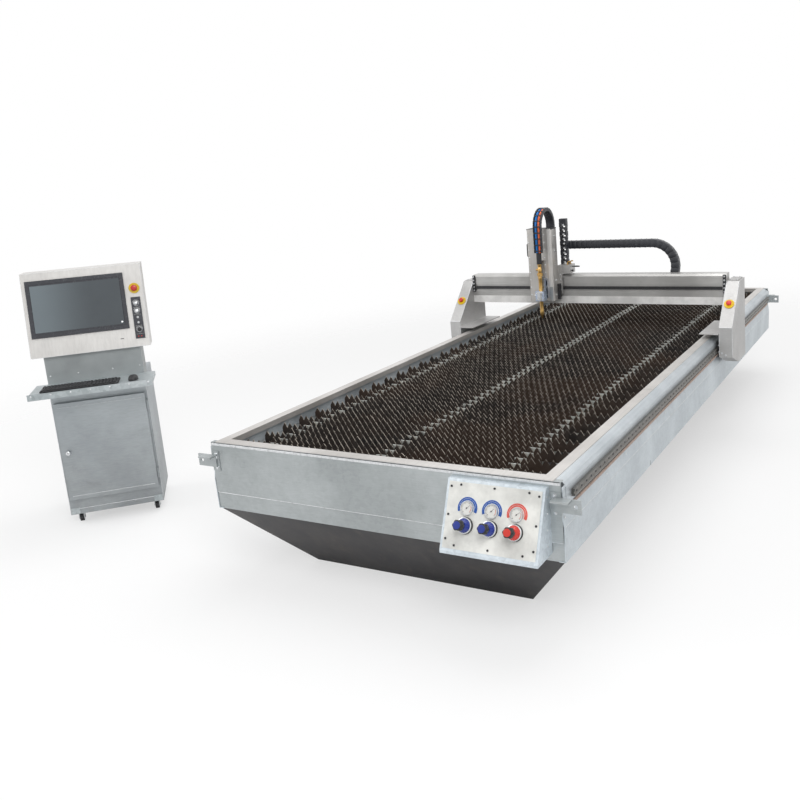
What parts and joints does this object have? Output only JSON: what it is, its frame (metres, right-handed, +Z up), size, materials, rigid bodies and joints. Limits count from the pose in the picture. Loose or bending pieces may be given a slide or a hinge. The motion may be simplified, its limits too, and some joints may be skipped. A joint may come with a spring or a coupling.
{
  "type": "plasma cutting machine",
  "caption": "Slatted plasma cutting table with a travelling gantry, a torch on a motorised lift, gas regulators on the end panel and a wheeled control console.",
  "frame": {"origin": "on the floor under the middle of the table", "axes": "+Z up, Y along the table with the regulator end at -Y, X across it"},
  "size_m": [3.9331, 5.1308, 1.696],
  "materials": {
    "galvanised_sheet": "galvanised, faint spangle",
    "rim_steel": "folded sheet, lightly brushed",
    "hopper_paint": "matt dark paint",
    "side_beam_alloy": "pale anodised",
    "rail_steel": "ground steel",
    "rack_steel": "cut teeth, light rust",
    "slat_steel": "burnt mild steel",
    "bed_steel": "dark grey, dusty",
    "support_steel": "bare steel",
    "gauge_plate_white": "smooth white",
    "gauge_steel": "polished case",
    "regulator_black": "black body",
    "knob_blue": "blue knob with black grips",
    "knob_red": "red knob with black grips",
    "leg_sheet": "brushed sheet",
    "beam_alloy": "anodised",
    "cover_white": "white cover",
    "block_black": "black oxide",
    "stop_yellow": "yellow ring",
    "stop_red": "red mushroom",
    "tray_steel": "plain sheet",
    "chain_black": "black nylon links",
    "carriage_steel": "machined plate",
    "housing_stainless": "brushed stainless",
    "handle_black": "black handle",
    "torch_brass": "machined brass",
    "sleeve_black": "black sleeve",
    "clamp_silver": "machined clamp",
    "hose_blue": "blue hose",
    "hose_orange": "orange hose",
    "cabinet_grey": "powder coat",
    "fascia_black": "black fascia",
    "screen_glass": "dark glass face",
    "input_black": "black plastic",
    "caster_steel": "zinc plated",
    "wheel_rubber": "black tread"
  },
  "bodies": {
    "table_and_console": {"dust_hopper": "hopper_paint", "end_panels": "galvanised_sheet", "side_panels": "galvanised_sheet", "side_beams": "side_beam_alloy", "side_rails": "rail_steel", "gear_racks": "rack_steel", "side_rims": "rim_steel", "end_rims": "rim_steel", "slat_ledges": "bed_steel", "slat_supports": "support_steel", "cross_bars": "bed_steel", "cutting_slats": "slat_steel", "corner_plates": "galvanised_sheet", "corner_lugs": "galvanised_sheet", "gauge_box": "galvanised_sheet", "gauge_plate": "gauge_plate_white", "pressure_gauges": "gauge_steel", "gas_regulators": "regulator_black", "console_cabinet": "cabinet_grey", "keyboard_desk": "cabinet_grey", "keyboard_and_mouse": "input_black", "monitor_housing": "cabinet_grey", "console_fascias": "fascia_black", "screen": "screen_glass", "panel_stop_disc": "stop_yellow", "panel_stop_button": "stop_red", "caster_forks_rear": "caster_steel"},
    "oxygen_knob": {"oxygen_knob": "knob_blue"},
    "air_knob": {"air_knob": "knob_blue"},
    "fuel_knob": {"fuel_knob": "knob_red"},
    "gantry": {"gantry_legs": "leg_sheet", "leg_covers": "galvanised_sheet", "cross_beam": "beam_alloy", "beam_guide": "rail_steel", "beam_cover": "cover_white", "bearing_blocks": "block_black", "leg_stop_discs": "stop_yellow", "leg_stop_buttons": "stop_red", "chain_tray": "tray_steel", "beam_cable_chain": "chain_black"},
    "carriage": {"carriage_plate": "carriage_steel", "lift_housing": "housing_stainless", "carriage_handles": "handle_black", "lift_cable_chain": "chain_black"},
    "torch_lift": {"torch_body": "torch_brass", "torch_sleeve": "sleeve_black", "torch_clamp": "clamp_silver", "hose_carrier": "chain_black", "blue_hose": "hose_blue", "orange_hose": "hose_orange"},
    "door": {"cabinet_door": "cabinet_grey"},
    "front_left_fork": {"caster_fork_front_left": "caster_steel"},
    "front_right_fork": {"caster_fork_front_right": "caster_steel"},
    "front_left_wheel": {"caster_wheel_front_left": "wheel_rubber"},
    "front_right_wheel": {"caster_wheel_front_right": "wheel_rubber"},
    "rear_left_wheel": {"caster_wheel_rear_left": "wheel_rubber"},
    "rear_right_wheel": {"caster_wheel_rear_right": "wheel_rubber"}
  },
  "joints": [
    {"name": "gantry_travel", "type": "slide", "parent": "table_and_console", "child": "gantry", "axis": [0, 1, 0], "range_m": [-2.7, 1.6]},
    {"name": "carriage_travel", "type": "slide", "parent": "gantry", "child": "carriage", "axis": [1, 0, 0], "range_m": [-0.37, 1.15]},
    {"name": "torch_lift", "type": "slide", "parent": "carriage", "child": "torch_lift", "axis": [0, 0, 1], "range_m": [-0.1, 0.04]},
    {"name": "cabinet_door_hinge", "type": "hinge", "parent": "table_and_console", "child": "door", "pos_m": [-2.09057, -1.8643, 0.49], "axis": [0, 0, 1], "range_deg": [0, 110]},
    {"name": "oxygen_knob_turn", "type": "hinge", "parent": "table_and_console", "child": "oxygen_knob", "pos_m": [0.571, -2.61103, 0.59043], "axis": [0, -0.9135, 0.4067], "range_deg": [-540, 540]},
    {"name": "air_knob_turn", "type": "hinge", "parent": "table_and_console", "child": "air_knob", "pos_m": [0.689, -2.61103, 0.59043], "axis": [0, -0.9135, 0.4067], "range_deg": [-540, 540]},
    {"name": "fuel_knob_turn", "type": "hinge", "parent": "table_and_console", "child": "fuel_knob", "pos_m": [0.807, -2.61103, 0.59043], "axis": [0, -0.9135, 0.4067], "range_deg": [-540, 540]},
    {"name": "front_left_swivel", "type": "hinge", "parent": "table_and_console", "child": "front_left_fork", "pos_m": [-2.49846, -2.16645, 0.06], "axis": [0, 0, 1], "continuous": true},
    {"name": "front_left_roll", "type": "hinge", "parent": "front_left_fork", "child": "front_left_wheel", "pos_m": [-2.51097, -2.1535, 0.025], "axis": [0.7193, 0.6947, 0], "continuous": true},
    {"name": "front_right_swivel", "type": "hinge", "parent": "table_and_console", "child": "front_right_fork", "pos_m": [-2.16757, -1.8469, 0.06], "axis": [0, 0, 1], "continuous": true},
    {"name": "front_right_roll", "type": "hinge", "parent": "front_right_fork", "child": "front_right_wheel", "pos_m": [-2.18007, -1.83396, 0.025], "axis": [0.7193, 0.6947, 0], "continuous": true},
    {"name": "rear_left_roll", "type": "hinge", "parent": "table_and_console", "child": "rear_left_wheel", "pos_m": [-2.77494, -1.88015, 0.025], "axis": [0.7193, 0.6947, 0], "continuous": true},
    {"name": "rear_right_roll", "type": "hinge", "parent": "table_and_console", "child": "rear_right_wheel", "pos_m": [-2.44404, -1.56061, 0.025], "axis": [0.7193, 0.6947, 0], "continuous": true}
  ]
}
